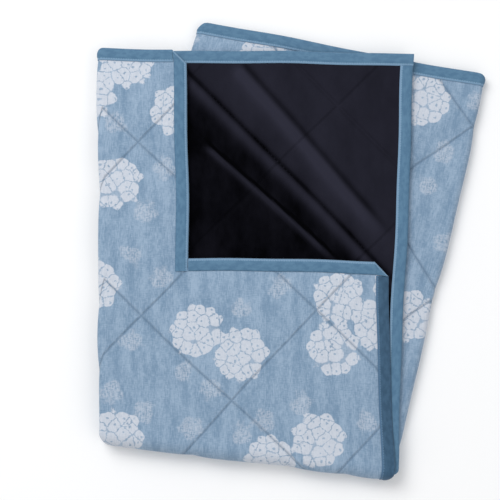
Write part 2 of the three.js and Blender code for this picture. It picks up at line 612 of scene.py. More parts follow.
def add_relief(
    tree: bpy.types.NodeTree, shader: bpy.types.Node, height: object, strength: float = 0.8
) -> None:
    """Lets a height in metres, on a socket, tilt the shader's surface."""
    bump = add_node(tree, "ShaderNodeBump", {"Strength": strength, "Distance": 1.0}, {"Height": height})
    tree.links.new(bump.outputs[0], shader.inputs["Normal"])


def add_all(tree: bpy.types.NodeTree, first: object, *others: object) -> bpy.types.NodeSocket:
    """Adds sockets together, from the first on."""
    for other in others:
        first = math_node(tree, "ADD", first, other)
    return first


def new_material(name: str) -> tuple[bpy.types.Material, bpy.types.NodeTree, bpy.types.Node]:
    """Makes an empty material.

    Args:
        name: the material's name.

    Returns:
        The material, its tree and its Principled shader.
    """
    material = bpy.data.materials.new(name)
    material.use_nodes = True
    return material, material.node_tree, material.node_tree.nodes["Principled BSDF"]


def flat_cloth(tree: bpy.types.NodeTree) -> bpy.types.NodeSocket:
    """Returns the socket of the piece's own flat cloth coordinates, in metres."""
    return add_node(tree, "ShaderNodeUVMap", {"uv_map": "cloth"}, {}).outputs[0]


def noise(tree: bpy.types.NodeTree, place: object, stretch: tuple, detail: float) -> bpy.types.NodeSocket:
    """Adds noise on stretched coordinates.

    Args:
        tree: the material's node tree.
        place: the coordinates' socket.
        stretch: cells to the metre along each axis.
        detail: how many finer octaves it has.

    Returns:
        The noise's value socket.
    """
    scaled = add_node(tree, "ShaderNodeVectorMath", {"operation": "MULTIPLY", 1: stretch}, {0: place})
    settings = {"Scale": 1.0, "Detail": detail, "Roughness": 0.6}
    return add_node(tree, "ShaderNodeTexNoise", settings, {"Vector": scaled.outputs[0]}).outputs[0]


def stitch_distance(tree: bpy.types.NodeTree, quilting: Quilting) -> bpy.types.NodeSocket:
    """Adds the distance from the nearest stitch line, in metres, by the same wrap as the quilt's shape.

    Args:
        tree: the material's node tree.
        quilting: the stitch lines.

    Returns:
        The distance's socket.
    """
    place = add_node(tree, "ShaderNodeUVMap", {"uv_map": "quilting"}, {}).outputs[0]
    lines = []
    for normal, offset in zip(quilting.normals, (quilting.rising_offset, quilting.falling_offset)):
        settings = {"operation": "DOT_PRODUCT", 1: (float(normal[0]), float(normal[1]), 0.0)}
        across = add_node(tree, "ShaderNodeVectorMath", settings, {0: place}).outputs["Value"]
        shifted = math_node(tree, "SUBTRACT", across, offset)
        wrapped = math_node(tree, "WRAP", shifted, quilting.pitch / 2, -quilting.pitch / 2)
        lines.append(math_node(tree, "ABSOLUTE", wrapped))
    return math_node(tree, "MINIMUM", *lines)


@dataclass(frozen=True)
class PrintedCotton:
    """Brushed cotton, dyed a melange blue and screen printed with white flower heads.

    Brushing leaves a soft, matt cloth whose lighter yarns show as streaks, and the screen print lies in the
    raised yarn only, so the white is broken. The slubs and wefts are about 1.5 mm apart, and real yarn is
    about 0.3 mm: they are drawn coarser so that they can be seen from where the whole blanket is.
    """

    deep: str = "#6f8aa4"
    pale: str = "#93a9bf"
    white: str = "#c8cdd6"
    shade: str = "#4d6985"
    bold_radius: float = 40.5 * MM
    faded_radius: float = 19 * MM
    floret: float = 15.5 * MM
    slub: tuple[float, float, float] = (620.0, 110.0, 1.0)
    weft: tuple[float, float, float] = (160.0, 700.0, 1.0)

    def build(self, quilting: Quilting) -> bpy.types.Material:
        """Makes the material.

        Long slubs of lighter yarn run up the cloth, flower heads are crowds of small florets with blue
        gaps, and each stitch line is darkened with a narrow painted shade in its crease.

        Args:
            quilting: the stitch lines.

        Returns:
            The finished material.
        """
        material, tree, shader = new_material("printed_brushed_cotton")
        place = flat_cloth(tree)
        warp = math_node(tree, "MULTIPLY", noise(tree, place, self.slub, 3.0), 0.62)
        weft = math_node(tree, "MULTIPLY", noise(tree, place, self.weft, 2.0), 0.38)
        melange = math_node(tree, "ADD", warp, weft)
        cloudy = noise(tree, place, (70.0, 16.0, 1.0), 3.0)
        yarn = math_node(tree, "MULTIPLY_ADD", melange, 1.2, math_node(tree, "MULTIPLY", cloudy, 0.8))
        tone = band(tree, yarn, 1.24, 0.76)
        ground = mix_colours(tree, tone, linear(self.deep), linear(self.pale))
        colour = self._print(tree, place, ground, melange)
        stitch = stitch_distance(tree, quilting)
        # Painted shade: a narrow darkening along each stitch line, where the crease lies in shade.
        crease = math_node(tree, "MULTIPLY", band(tree, stitch, 0.2 * MM, 1.6 * MM), 0.5)
        shaded = mix_colours(tree, crease, colour, linear(self.shade))
        tree.links.new(shaded, shader.inputs["Base Color"])
        # Brushed cotton is matt, and its loose fibres catch a little light at the edges.
        set_shader(shader, {"Roughness": 0.92, "Sheen Weight": 0.12, "Sheen Roughness": 0.5})
        self._relief(tree, place, melange, stitch, shader)
        return material

    def _print(self, tree: bpy.types.NodeTree, place: object, ground: object, melange: object) -> object:
        """Lays the flower heads over the ground colour and returns the colour's socket."""
        wobble = add_node(tree, "ShaderNodeTexNoise", {"Scale": 210.0, "Detail": 2.0}, {"Vector": place})
        halved = {"operation": "SUBTRACT", 1: (0.5, 0.5, 0.5)}
        centred = add_node(tree, "ShaderNodeVectorMath", halved, {0: wobble.outputs[1]})
        pushed = {"operation": "MULTIPLY_ADD", 1: (0.006, 0.006, 0.0)}
        bent = add_node(tree, "ShaderNodeVectorMath", pushed, {0: centred.outputs[0], 2: place}).outputs[0]
        cell = {"Scale": 1 / self.floret, "Randomness": 0.95, "voronoi_dimensions": "2D"}
        nearest = add_node(tree, "ShaderNodeTexVoronoi", cell, {"Vector": bent}).outputs["Distance"]
        edges = {**cell, "feature": "DISTANCE_TO_EDGE"}
        border = add_node(tree, "ShaderNodeTexVoronoi", edges, {"Vector": bent}).outputs["Distance"]
        blotch = noise(tree, place, (330.0, 330.0, 1.0), 2.0)
        gap = band(tree, math_node(tree, "MULTIPLY_ADD", blotch, -0.2, border), -0.085, -0.035)
        corners = math_node(tree, "SUBTRACT", 1.0, band(tree, nearest, 0.66, 0.82))
        dot = band(tree, nearest, 0.06, 0.13)
        broken = math_node(tree, "MAXIMUM", math_node(tree, "MAXIMUM", gap, corners), dot)
        bold, faded = (
            add_node(tree, "ShaderNodeAttribute", {"attribute_name": name}, {}).outputs["Fac"]
            for name in ("bold", "faded")
        )
        lobes = math_node(tree, "MULTIPLY", nearest, self.floret * 0.85)
        edge, soft = self.bold_radius, self.faded_radius
        inside = band(tree, math_node(tree, "ADD", bold, lobes), edge - 1.0 * MM, edge + 1.0 * MM)
        whole = math_node(tree, "SUBTRACT", 1.0, math_node(tree, "MULTIPLY", broken, 0.8))
        worn = math_node(tree, "MULTIPLY_ADD", band(tree, melange, 0.62, 0.36), 0.2, 0.76)
        petals = math_node(tree, "MULTIPLY", math_node(tree, "MULTIPLY", inside, whole), worn)
        ghost = band(tree, math_node(tree, "ADD", faded, lobes), soft - 3 * MM, soft + 4 * MM)
        patchy = math_node(tree, "ADD", melange, math_node(tree, "MULTIPLY", blotch, 0.6))
        speckle = band(tree, patchy, 0.92, 0.62)
        faint = math_node(tree, "MULTIPLY", math_node(tree, "MULTIPLY", ghost, speckle), 0.42)
        under = mix_colours(tree, faint, ground, linear(self.white))
        return mix_colours(tree, petals, under, linear(self.white))

    def _relief(
        self, tree: bpy.types.NodeTree, place: object, melange: object, stitch: object, shader: object
    ) -> None:
        """Adds the stitch furrow, the puckers beside it and the raised yarn as bump."""
        furrow = math_node(tree, "MULTIPLY", band(tree, stitch, 0.0, 3.0 * MM), -0.0016)
        pucker = noise(tree, place, (120.0, 120.0, 1.0), 1.0)
        near = band(tree, stitch, 2.0 * MM, 20 * MM)
        gathers = math_node(tree, "MULTIPLY", math_node(tree, "MULTIPLY", pucker, near), 0.0018)
        yarn = math_node(tree, "MULTIPLY", melange, 0.0005)
        soft = math_node(tree, "MULTIPLY", noise(tree, place, (30.0, 30.0, 1.0), 2.0), 0.0016)
        add_relief(tree, shader, add_all(tree, furrow, gathers, yarn, soft))


@dataclass(frozen=True)
class NavyPlush:
    """Short-pile polyester plush, dyed navy black.

    Knitting and shearing leave upright fibre ends that swallow light, so it is almost black face on, with a
    soft glow where the pile leans. The pile is drawn about 1 mm apart, and real fibre is far finer: it is
    coarser so that the nap shows at all.
    """

    deep: str = "#000002"
    # The lighter plush colour, used for pressed patches and for painted highlight on the folds.
    brushed: str = "#2b2b37"
    glow: str = "#50505f"

    def build(self, quilting: Quilting) -> bpy.types.Material:
        """Makes the material: the pile is lighter in pressed patches, with painted highlight on the folds'
        ridges and painted shade in their furrows.

        Args:
            quilting: the stitch lines, which the pile sinks into.

        Returns:
            The finished material.
        """
        material, tree, shader = new_material("navy_plush_pile")
        place = flat_cloth(tree)
        pressed = noise(tree, place, (26.0, 14.0, 1.0), 3.0)
        pile = noise(tree, place, (900.0, 900.0, 1.0), 2.0)
        # The lay attribute is painted light: highlight on the folds' ridges, shade in their furrows and a
        # lighter area beside the main fold.
        lay = add_node(tree, "ShaderNodeAttribute", {"attribute_name": "lay"}, {}).outputs["Fac"]
        patchy = math_node(tree, "MULTIPLY_ADD", pressed, 0.5, -0.25)
        speckled = math_node(tree, "MULTIPLY_ADD", pile, 0.12, -0.06)
        tone = add_all(tree, lay, patchy, speckled)
        colour = mix_colours(tree, tone, linear(self.deep), linear(self.brushed))
        tree.links.new(colour, shader.inputs["Base Color"])
        # Light sinks between the fibres, so the gloss is far below a solid's and only a faint sheen is left.
        set_shader(shader, {"Roughness": 0.95, "Specular IOR Level": 0.05, "Sheen Weight": 0.03})
        set_shader(shader, {"Sheen Roughness": 0.45, "Sheen Tint": linear(self.glow)})
        stitch = stitch_distance(tree, quilting)
        furrow = math_node(tree, "MULTIPLY", band(tree, stitch, 0.0, 5.0 * MM), -0.0022)
        nap = math_node(tree, "MULTIPLY", pile, 0.0006)
        dents = math_node(tree, "MULTIPLY", noise(tree, place, (26.0, 18.0, 1.0), 2.0), 0.003)
        add_relief(tree, shader, add_all(tree, furrow, nap, dents))
        return material


@dataclass(frozen=True)
class Wadding:
    """Needled polyester wadding: the needles tangle it into a white, matt and hairy felt."""

    white: str = "#eeece6"
    shade: str = "#d3d0c8"

    def build(self) -> bpy.types.Material:
        """Makes the material: tangled fibre shows as fine pale and darker flecks.

        Returns:
            The finished material.
        """
        material, tree, shader = new_material("needled_polyester_wadding")
        fibre = noise(tree, flat_cloth(tree), (260.0, 260.0, 1.0), 4.0)
        colour = mix_colours(tree, fibre, linear(self.white), linear(self.shade))
        tree.links.new(colour, shader.inputs["Base Color"])
        set_shader(shader, {"Roughness": 1.0})
        add_relief(tree, shader, math_node(tree, "MULTIPLY", fibre, 0.002), 0.7)
        return material


@dataclass(frozen=True)
class WovenTape:
    """Cotton twill tape, dyed blue and sewn down with one line of topstitch.

    The twill's floats lie side by side, which gives a low satin glow and fine diagonal ribs. The ribs are
    1.6 mm apart, and real ones are about 0.5 mm: they are coarser so that the twill can be seen.
    """

    deep: str = "#4a6f8c"
    pale: str = "#557a96"
    lip: str = "#7898b4"
    thread: str = "#8fadc6"
    rib: float = 1.6 * MM

    @classmethod
    def of(cls, tape_shade: TapeShade) -> "WovenTape":
        """Returns the tape in one of its tones: the second is the same tape with painted shade in its
        colours.
        """
        if tape_shade is TapeShade.MID:
            return cls()
        # Painted shade: the same tape's colours darkened, standing in for the shade that the cover's open
        # side lies in.
        return cls(deep="#2f4f69", pale="#3a5b76", lip="#4f7190", thread="#6f8da8")

    def build(self) -> bpy.types.Material:
        """Makes the material: the map's first axis runs along the tape, its second past the stitch line.

        Returns:
            The finished material.
        """
        material, tree, shader = new_material("woven_twill_tape")
        place = flat_cloth(tree)
        split = add_node(tree, "ShaderNodeSeparateXYZ", {}, {0: place})
        along, past = split.outputs[0], split.outputs[1]
        mottle = noise(tree, place, (90.0, 160.0, 1.0), 4.0)
        ground = mix_colours(tree, band(tree, mottle, 0.62, 0.38), linear(self.deep), linear(self.pale))
        on_lip = math_node(tree, "SUBTRACT", 1.0, band(tree, past, 0.0, 0.8 * MM))
        colour = mix_colours(tree, math_node(tree, "MULTIPLY", on_lip, 0.8), ground, linear(self.lip))
        from_stitch = math_node(tree, "ABSOLUTE", past)
        dash = band(tree, math_node(tree, "PINGPONG", along, 1.7 * MM), 1.0 * MM, 1.2 * MM)
        sewn = math_node(tree, "MULTIPLY", band(tree, from_stitch, 0.3 * MM, 0.6 * MM), dash)
        stitched = mix_colours(tree, math_node(tree, "MULTIPLY", sewn, 0.6), colour, linear(self.thread))
        tree.links.new(stitched, shader.inputs["Base Color"])
        set_shader(shader, {"Roughness": 0.68, "Specular IOR Level": 0.3, "Sheen Weight": 0.08})
        slope = math_node(tree, "ADD", along, past)
        ribs = math_node(tree, "MULTIPLY", math_node(tree, "PINGPONG", slope, self.rib / 2), 0.10)
        crinkle = math_node(tree, "MULTIPLY", noise(tree, place, (60.0, 20.0, 1.0), 2.0), 0.0012)
        add_relief(tree, shader, add_all(tree, ribs, crinkle))
        return material


# --------------------------------------------------------------------------- tape


@dataclass(frozen=True)
class TapeProfile:
    """The section of a tape folded over an edge, in metres: inward from the edge, and above its middle."""

    width: float = 18 * MM
    wall: float = 0.7 * MM
    half: float = 3.9 * MM
    nose: float = 3.4 * MM
    stitch: float = 15.2 * MM
    lip_inside: bool = True
    slope: float = 0.0
    tape_shade: TapeShade = TapeShade.MID
    points: int = 14

    def half_height(self, inward: np.ndarray) -> np.ndarray:
        """Works out how high the tape stands above the edge's middle.

        It rises as a quarter ellipse over its nose, holds a low crown, dips in a narrow bell at the stitch
        line, and falls gently to its inner edge; a sloping tape also thins steadily towards its nose.

        Args:
            inward: distances in from the edge.

        Returns:
            The half height at each distance.
        """
        nose = np.sqrt(1 - np.clip(1 - inward / self.nose, 0, 1) ** 2)
        share = inward / self.width
        crown = (1 - 0.26 * ((share - 0.45) / 0.55) ** 2) * (1 - self.slope * (1 - share))
        dip = 0.7 * MM * np.exp(-(((inward - self.stitch) / (1.1 * MM)) ** 2))
        return np.maximum(self.half * nose * crown - dip * nose, 0)

    def section(self) -> tuple[np.ndarray, np.ndarray]:
        """Works out the closed section of the folded tape.

        Returns:
            The distances inward and the heights, round the outside from top to bottom and back inside.
        """
        share = np.linspace(1, 0, self.points) ** 1.35
        outside = self.width * share
        tops = self.half_height(outside)
        inside = self.wall + (self.width - self.wall) * share
        under = np.clip(self.half_height(inside) - self.wall, 0, None) * (share > 0)
        inward = np.concatenate([outside, outside[-2::-1], inside, inside[-2::-1]])
        height = np.concatenate([tops, -tops[-2::-1], -under, under[-2::-1]])
        return inward, height


@dataclass
class TapeRun:
    """A path that a tape follows: the edge, the step inwards for each metre of width, and the way up."""

    edge: np.ndarray
    inward: np.ndarray
    normal: np.ndarray

    def joined(self, other: "TapeRun") -> "TapeRun":
        """Returns this run followed by another that starts where it ends."""
        parts = (
            np.concatenate([getattr(self, f)[:-1], getattr(other, f)]) for f in ("edge", "inward", "normal")
        )
        return TapeRun(*parts)


def straight_run(
    start: np.ndarray,
    end: np.ndarray,
    start_in: np.ndarray,
    end_in: np.ndarray,
    height: float,
    up: float,
    step: float,
) -> TapeRun:
    """Lays a tape along a straight edge, with its ends cut to the mitres.

    Args:
        start: plan point where the edge starts.
        end: plan point where it ends.
        start_in: plan step inwards at the start, for each metre of width.
        end_in: the same at the end.
        height: the height of the edge's middle.
        up: 1 if the face side is up, or -1.
        step: the spacing of points along it.

    Returns:
        The run, with every value a straight blend from start to end.
    """
    length = float(np.linalg.norm(end - start))
    share = held(np.linspace(0, 1, steps(length, step)), length)
    normal = np.broadcast_to(UP * up, (len(share), 3))
    return TapeRun(lift(lerp(start, end, share), height), lift(lerp(start_in, end_in, share), 0.0), normal)


def round_run(
    centre: np.ndarray,
    first: np.ndarray,
    second: np.ndarray,
    radius: float,
    inward: np.ndarray,
    steps_round: int,
) -> TapeRun:
    """Takes a tape half way round a fold.

    Args:
        centre: the middle of the fold.
        first: the unit direction from the centre to where the run starts.
        second: the unit direction in which the fold bulges.
        radius: the bend's radius.
        inward: the step inwards for each metre of width.
        steps_round: how many points it takes.

    Returns:
        The run: the centre plus the radius times cosine of first and sine of second, from 0 to a half turn.
    """
    angle = math.pi * held(np.linspace(0, 1, steps_round), math.pi * radius)
    radial = np.cos(angle)[:, None] * first + np.sin(angle)[:, None] * second
    return TapeRun(centre + radius * radial, np.broadcast_to(inward, radial.shape), radial)


def tape_mesh(name: str, run: TapeRun, profile: TapeProfile, closed: bool, drape: Drape) -> bpy.types.Object:
    """Carries the tape's section along a run.

    Each point is the edge plus the section's distance times the inward step plus its height times the
    way up, and open ends are closed with strips across the tape's wall.

    Args:
        name: the piece's name.
        run: the path.
        profile: the section.
        closed: whether the run returns to its start.
        drape: how the bundle has settled.

    Returns:
        The new object, with a map of length along the tape and distance past its stitch line.
    """
    inward, height = profile.section()
    edge, across, up = (v[:, None, :] for v in (run.edge, run.inward, run.normal))
    points = edge + across * inward[None, :, None] + up * height[None, :, None]
    length, around = points.shape[:2]
    lengthways = np.concatenate([[0.0], np.cumsum(np.linalg.norm(np.diff(run.edge, axis=0), axis=1))])
    index = np.arange(length * around).reshape(length, around)
    rows = (index, np.roll(index, -1, axis=0)) if closed else (index[:-1], index[1:])
    here, there = rows
    round_here, round_there = np.roll(here, -1, axis=1), np.roll(there, -1, axis=1)
    sides = np.stack([here, round_here, round_there, there], axis=-1).reshape(-1, 4)
    faces = [sides]
    half = around // 2
    if not closed:
        k = np.arange(half)
        cap = np.stack([k, k + 1, (around - 1) - (k + 1), (around - 1) - k], axis=1)[: half - 1]
        faces = [cap[:, ::-1], cap + index[-1, 0], sides]
    past_stitch = (inward - profile.stitch) * (1 if profile.lip_inside else -1)
    spread = [np.broadcast_to(way, (length, around)) for way in (lengthways[:, None], past_stitch)]
    flat = np.stack(spread, axis=-1)
    quads = np.concatenate(faces)
    smooth = np.arange(len(quads)) >= len(quads) - len(sides)
    piece = make_object(name, drape.settle(points).reshape(-1, 3), quads, smooth)
    set_uv(piece, "cloth", flat.reshape(-1, 2))
    return piece


# --------------------------------------------------------------------------- dressing and declaring


@dataclass
class Workshop:
    """What every part of the blanket is made with: the quilting, the drape and the four finishes."""

    quilting: Quilting
    drape: Drape
    finishes: dict[Slot, bpy.types.Material] = field(default_factory=dict)
    tapes: dict[TapeShade, bpy.types.Material] = field(default_factory=dict)

    def __post_init__(self) -> None:
        """Makes each material once."""
        self.finishes = {
            Slot.COTTON: PrintedCotton().build(self.quilting),
            Slot.PLUSH: NavyPlush().build(self.quilting),
            Slot.WADDING: Wadding().build(),
        }
        self.tapes = {tape_shade: WovenTape.of(tape_shade).build() for tape_shade in TapeShade}

    def dress(self, piece: bpy.types.Object, slot: Slot) -> None:
        """Gives a piece its material."""
        piece.data.materials.append(self.finishes[slot])

    def ply(self, name: str, sheet: Sheet, ply: Ply, rests_on: list[str]) -> bpy.types.Object:
        """Args:
            name: the piece's name.
            sheet: the grid of quilt.
            ply: the ply.
            rests_on: what the piece lies on; not used.

        Returns:
            The finished piece.
        """
        piece = closed_layer(name, sheet, ply, self.drape)
        self.dress(piece, PLY_SLOTS[ply])
        declare_ply(ply, sheet)
        return piece

    def tape(self, name: str, run: TapeRun, profile: TapeProfile, closed: bool = False) -> bpy.types.Object:
        """Makes a tape along a run and dresses it.

        Args:
            name: the piece's name.
            run: the path.
            profile: the section.
            closed: whether the run returns to its start.

        Returns:
            The finished piece.
        """
        piece = tape_mesh(name, run, profile, closed, self.drape)
        piece.data.materials.append(self.tapes[profile.tape_shade])
        return piece


PLY_SLOTS = {Ply.FACE: Slot.COTTON, Ply.WADDING: Slot.WADDING, Ply.LINING: Slot.PLUSH}
PLY_NAMES = {Ply.FACE: "face", Ply.WADDING: "wadding", Ply.LINING: "lining"}
INNER_LIP = TapeProfile()
OUTER_LIP = TapeProfile(stitch=3.2 * MM, lip_inside=False)
# The open side's tape slopes down, and its colour is darkened with painted shade.
SLOPING = TapeProfile(slope=0.65, tape_shade=TapeShade.DEEP)


def smallest_cut(cloth: np.ndarray) -> tuple[float, float]:
    """Finds the smallest rectangle, turned by whole degrees, that a flat cloth can be cut from.

    Args:
        cloth: flat cloth points, one a row.

    Returns:
        The rectangle's two sides.
    """
    turn = np.radians(np.arange(90))[:, None]
    first = np.cos(turn) * cloth[:, 0] + np.sin(turn) * cloth[:, 1]
    second = np.cos(turn) * cloth[:, 1] - np.sin(turn) * cloth[:, 0]
    sides = np.stack([np.ptp(first, axis=1), np.ptp(second, axis=1)], axis=1)
    width, length = sides[np.argmin(sides.prod(axis=1))]
    return float(width), float(length)


def declare_ply(ply: Ply, sheet: Sheet) -> None:
    """Measures the smallest rectangle that a ply's flat cloth can be cut from, and keeps nothing; wadding is
    skipped.

    Args:
        ply: which ply it is.
        sheet: the grid that it was made from.
    """
    if ply is Ply.WADDING:
        return
    shorter, longer = sorted(smallest_cut(sheet.cloth.reshape(-1, 2)))


@dataclass
class Half:
    """What the head half and the foot half share: two panels of quilt, one over the other."""

    waist: Waist
    shop: Workshop
    step: float = 4 * MM
    roll_points: int = 13

    def heights(self, upper: str, lower: str) -> tuple[float, float]:
        """Returns the middles of two panels' heights, read from their wadding."""
        return tuple((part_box(node)[0][2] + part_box(node)[1][2]) / 2 for node in (upper, lower))

    def side_roll(
        self, fold: np.ndarray, outward: np.ndarray, high: float, low: float
    ) -> tuple[np.ndarray, np.ndarray]:
        """Turns the quilt's middle half way round a side fold.

        Args:
            fold: plan points along the fold, one a row.
            outward: the plan direction in which it bulges at each point.
            high: the upper panel's middle height.
            low: the lower panel's middle height.

        Returns:
            Middle points and normals, rows along the fold and columns from the top round to the bottom.
        """
        angle = np.linspace(0, math.pi, self.roll_points)
        sine, cosine = np.sin(angle)[None, :, None], np.cos(angle)[None, :, None]
        radial = lift(outward, 0.0)[:, None, :] * sine + UP * cosine
        radius = (high - low) / 2
        centre = lift(fold, (high + low) / 2)[:, None, :]
        return centre + radius * radial, radial


@dataclass(frozen=True)
class PlushFold:
    """A long soft fold in the plush: a furrow with a raised ridge along its lower left side, with painted
    highlight on the ridge.

    Its ends are in millimetres from the waist's left end.
    """

    start: tuple[float, float]
    end: tuple[float, float]
    furrow: float
    ridge: float
    spread: float

    def offset(self, plan: np.ndarray) -> tuple[np.ndarray, np.ndarray]:
        """Measures plan points from the fold.

        Args:
            plan: plan points from the waist's left end, in metres.

        Returns:
            The distance to the lower left of the fold's line, and the share of the way along it.
        """
        start, end = np.array(self.start) * MM, np.array(self.end) * MM
        step = (end - start) / np.linalg.norm(end - start)
        away = plan - start
        return away @ np.array([step[1], -step[0]]), (away @ step) / np.linalg.norm(end - start)

    def rise(self, plan: np.ndarray) -> np.ndarray:
        """Works out how far the fold lifts the plush.

        A bell of the distance from the line is cut out for the furrow and a wider bell beside it is added
        for the ridge, and both fade in and out at the ends.

        Args:
            plan: plan points, in metres.

        Returns:
            The lift at each point, below zero in the furrow.
        """
        across, along = self.offset(plan)
        ends = np.clip(along / 0.12, 0, 1) * np.clip((1.0 - along) / 0.2, 0, 1)
        furrow = np.exp(-((across / (self.spread * 0.45)) ** 2))
        ridge = np.exp(-(((across - self.spread * 1.2) / self.spread) ** 2))
        return (self.ridge * ridge - self.furrow * furrow) * ends

    def lay(self, plan: np.ndarray) -> np.ndarray:
        """Returns the painted light for the plush's colour: painted highlight on the ridge and painted shade
        in the furrow.
        """
        across, along = self.offset(plan)
        ends = np.clip(along / 0.05 + 0.5, 0, 1) * np.clip((1.1 - along) / 0.2, 0, 1)
        ridge = np.exp(-(((across - self.spread) / self.spread) ** 2))
        furrow = np.exp(-((across / (self.spread * 0.4)) ** 2))
        return (0.55 * ridge - 0.5 * furrow) * ends


PLUSH_FOLDS = (
    PlushFold((104, 505), (396, 207), 3.0 * MM, 1.6 * MM, 9 * MM),
    PlushFold((188, 510), (376, 289), 2.0 * MM, 0.9 * MM, 12 * MM),
    PlushFold((142, 394), (308, 244), 0.3 * MM, 0.9 * MM, 5 * MM),
)


@dataclass
class HeadHalf(Half):
    """The half that opens: the notched cover over the back panel, joined down the left side."""

    tuck: float = 3 * MM
    side_tuck: float = 9 * MM
    back_quilting_shift: tuple[float, float] = (28.5 * MM, 59.1 * MM)
    corner_leg: float = 20 * MM

    def __post_init__(self) -> None:
        """Reads the outlines from the frame and works out the grid of quilt."""
        self.high, self.low = self.heights("cover_wadding", "back_wadding")
        self.cover, self.back = head_outlines(self.waist)
        self.sheet = self._sheet()

    def _cover_grid(self, v: np.ndarray, v_notch: float, u_notch: float, u: np.ndarray) -> np.ndarray:
        """Spreads the cover's grid over its notched outline.

        Each row runs from the left fold through the line of the notch's side to the open side, and is two
        straight pieces; each column is two straight pieces that meet at the height of the notch's foot.

        Args:
            v: shares of the way up, one a row.
            v_notch: the share at the notch's foot.
            u_notch: the share across at the notch's side.
            u: shares across, one a column.

        Returns:
            Plan points, rows by columns.
        """
        bottom_left, bottom_right, shoulder, notch, notch_top, top_left = inset(
            self.cover, [0, self.side_tuck, self.tuck, self.tuck, self.tuck, 0]
        )
        below, above = np.clip(v / v_notch, 0, 1), np.clip((v - v_notch) / (1 - v_notch), 0, 1)
        left = lerp(bottom_left, top_left, v)
        beside_notch = left[np.argmin(np.abs(v - v_notch))]
        share = np.linalg.norm(notch - beside_notch) / np.linalg.norm(bottom_right - bottom_left)
        under_notch = lerp(bottom_left, bottom_right, np.array(share))
        middle = lerp(under_notch, notch, below) + (notch_top - notch) * above[:, None]
        right = lerp(bottom_right, shoulder, below) + (notch_top - notch) * above[:, None]
        inner, outer = np.clip(u / u_notch, 0, 1), np.clip((u - u_notch) / (1 - u_notch), 0, 1)
        to_middle = (middle - left)[:, None] * inner[None, :, None]
        to_right = (right - middle)[:, None] * outer[None, :, None]
        grid = left[:, None] + to_middle + to_right
        for place in (self.cover[2], self.cover[4]):
            depth = self.corner_leg / math.sqrt(2) + self.tuck
            grid = CornerCut(place, np.array([1.0, 1.0]) / math.sqrt(2), depth).draw_in(grid)
        return grid

    def _sheet(self) -> Sheet:
        """Joins the cover, the side fold and the back panel into one grid of quilt.

        Returns:
            The grid, with columns from the cover's open side round the fold to the back's open side.
        """
        height = float(np.linalg.norm(self.cover[5] - self.cover[0]))
        width = float(np.linalg.norm(self.cover[1] - self.cover[0]))
        v_notch = (self.cover[3][1] - self.cover[0][1]) / height
        u_notch = (self.cover[3][0] - self.cover[0][0]) / width
        v = np.concatenate([
            np.linspace(0, v_notch, steps(height * v_notch, self.step))[:-1],
            np.linspace(v_notch, 1, steps(height * (1 - v_notch), self.step)),
        ])
        v = held(v, height)
        u = np.concatenate([
            np.linspace(0, u_notch, steps(width * u_notch, self.step))[:-1],
            np.linspace(u_notch, 1, steps(width * (1 - u_notch), self.step)),
        ])
        cover = self._cover_grid(v, v_notch, u_notch, u)[:, ::-1]
        bottom_left, bottom_right, top_right, top_left = inset(self.back, [0, self.tuck, self.tuck, 0])
        left, right = lerp(bottom_left, top_left, v), lerp(bottom_right, top_right, v)
        across = np.linspace(0, 1, steps(width, self.step))
        back = left[:, None] + (right - left)[:, None] * across[None, :, None]
        outward = unit(left - right)
        roll, radial = self.side_roll(cover[:, -1], outward, self.high, self.low)
        middle = np.concatenate([lift(cover, self.high), roll[:, 1:-1], lift(back, self.low)], axis=1)
        flats = [np.broadcast_to(UP * way, grid.shape[:2] + (3,)) for way, grid in ((1, cover), (-1, back))]
        normal = np.concatenate([flats[0], radial[:, 1:-1], flats[1]], axis=1)
        cloth = self._flat_cloth(cover, back, left, outward)
        columns = middle.shape[1]
        edges = [(self.cover[i], self.cover[i + 1]) for i in range(1, 5)]
        from_tape = np.concatenate([
            distance_to_edges(cover, edges),
            distance_to_edges(roll[:, 1:-1, :2], edges[-1:]),
            distance_to_edges(back, [(self.back[1], self.back[2]), (self.back[2], self.back[3])]),
        ], axis=1) - INNER_LIP.width
        past_notch = int(np.argmin(np.abs(u[::-1] - u_notch)))
        above_notch = (v[:-1] + v[1:])[:, None] / 2 > v_notch
        keep = ~(above_notch & (np.arange(columns - 1)[None, :] < past_notch))
        round_share = np.clip((np.arange(columns) - cover.shape[1] + 1) / (self.roll_points - 1), 0, 1)
        quilting = cloth + round_share[None, :, None] * np.array(self.back_quilting_shift)
        thickness = self.shop.quilting.thickness(quilting, from_tape)
        on_back = np.arange(columns) >= columns - back.shape[1]
        from_waist = middle[..., :2] - self.waist.left
        rise = sum(fold.rise(from_waist) for fold in PLUSH_FOLDS) * on_back
        # Painted light on the plush: highlight on the folds' ridges, shade in their furrows, and a lighter
        # area to the upper right of the main fold.
        lay = 0.07 + sum(fold.lay(from_waist) for fold in PLUSH_FOLDS) * on_back
        across, _ = PLUSH_FOLDS[0].offset(from_waist)
        lay += 0.5 / (1 + np.exp(across / (5 * MM))) * on_back
        bold, faded = (COVER_PRINT.distance(cloth, heads) for heads in (COVER_PRINT.bold, COVER_PRINT.faded))
        lifted = middle - normal * (rise / 2)[..., None]
        return Sheet(lifted, normal, cloth, quilting, thickness + rise, bold, faded, lay, keep)

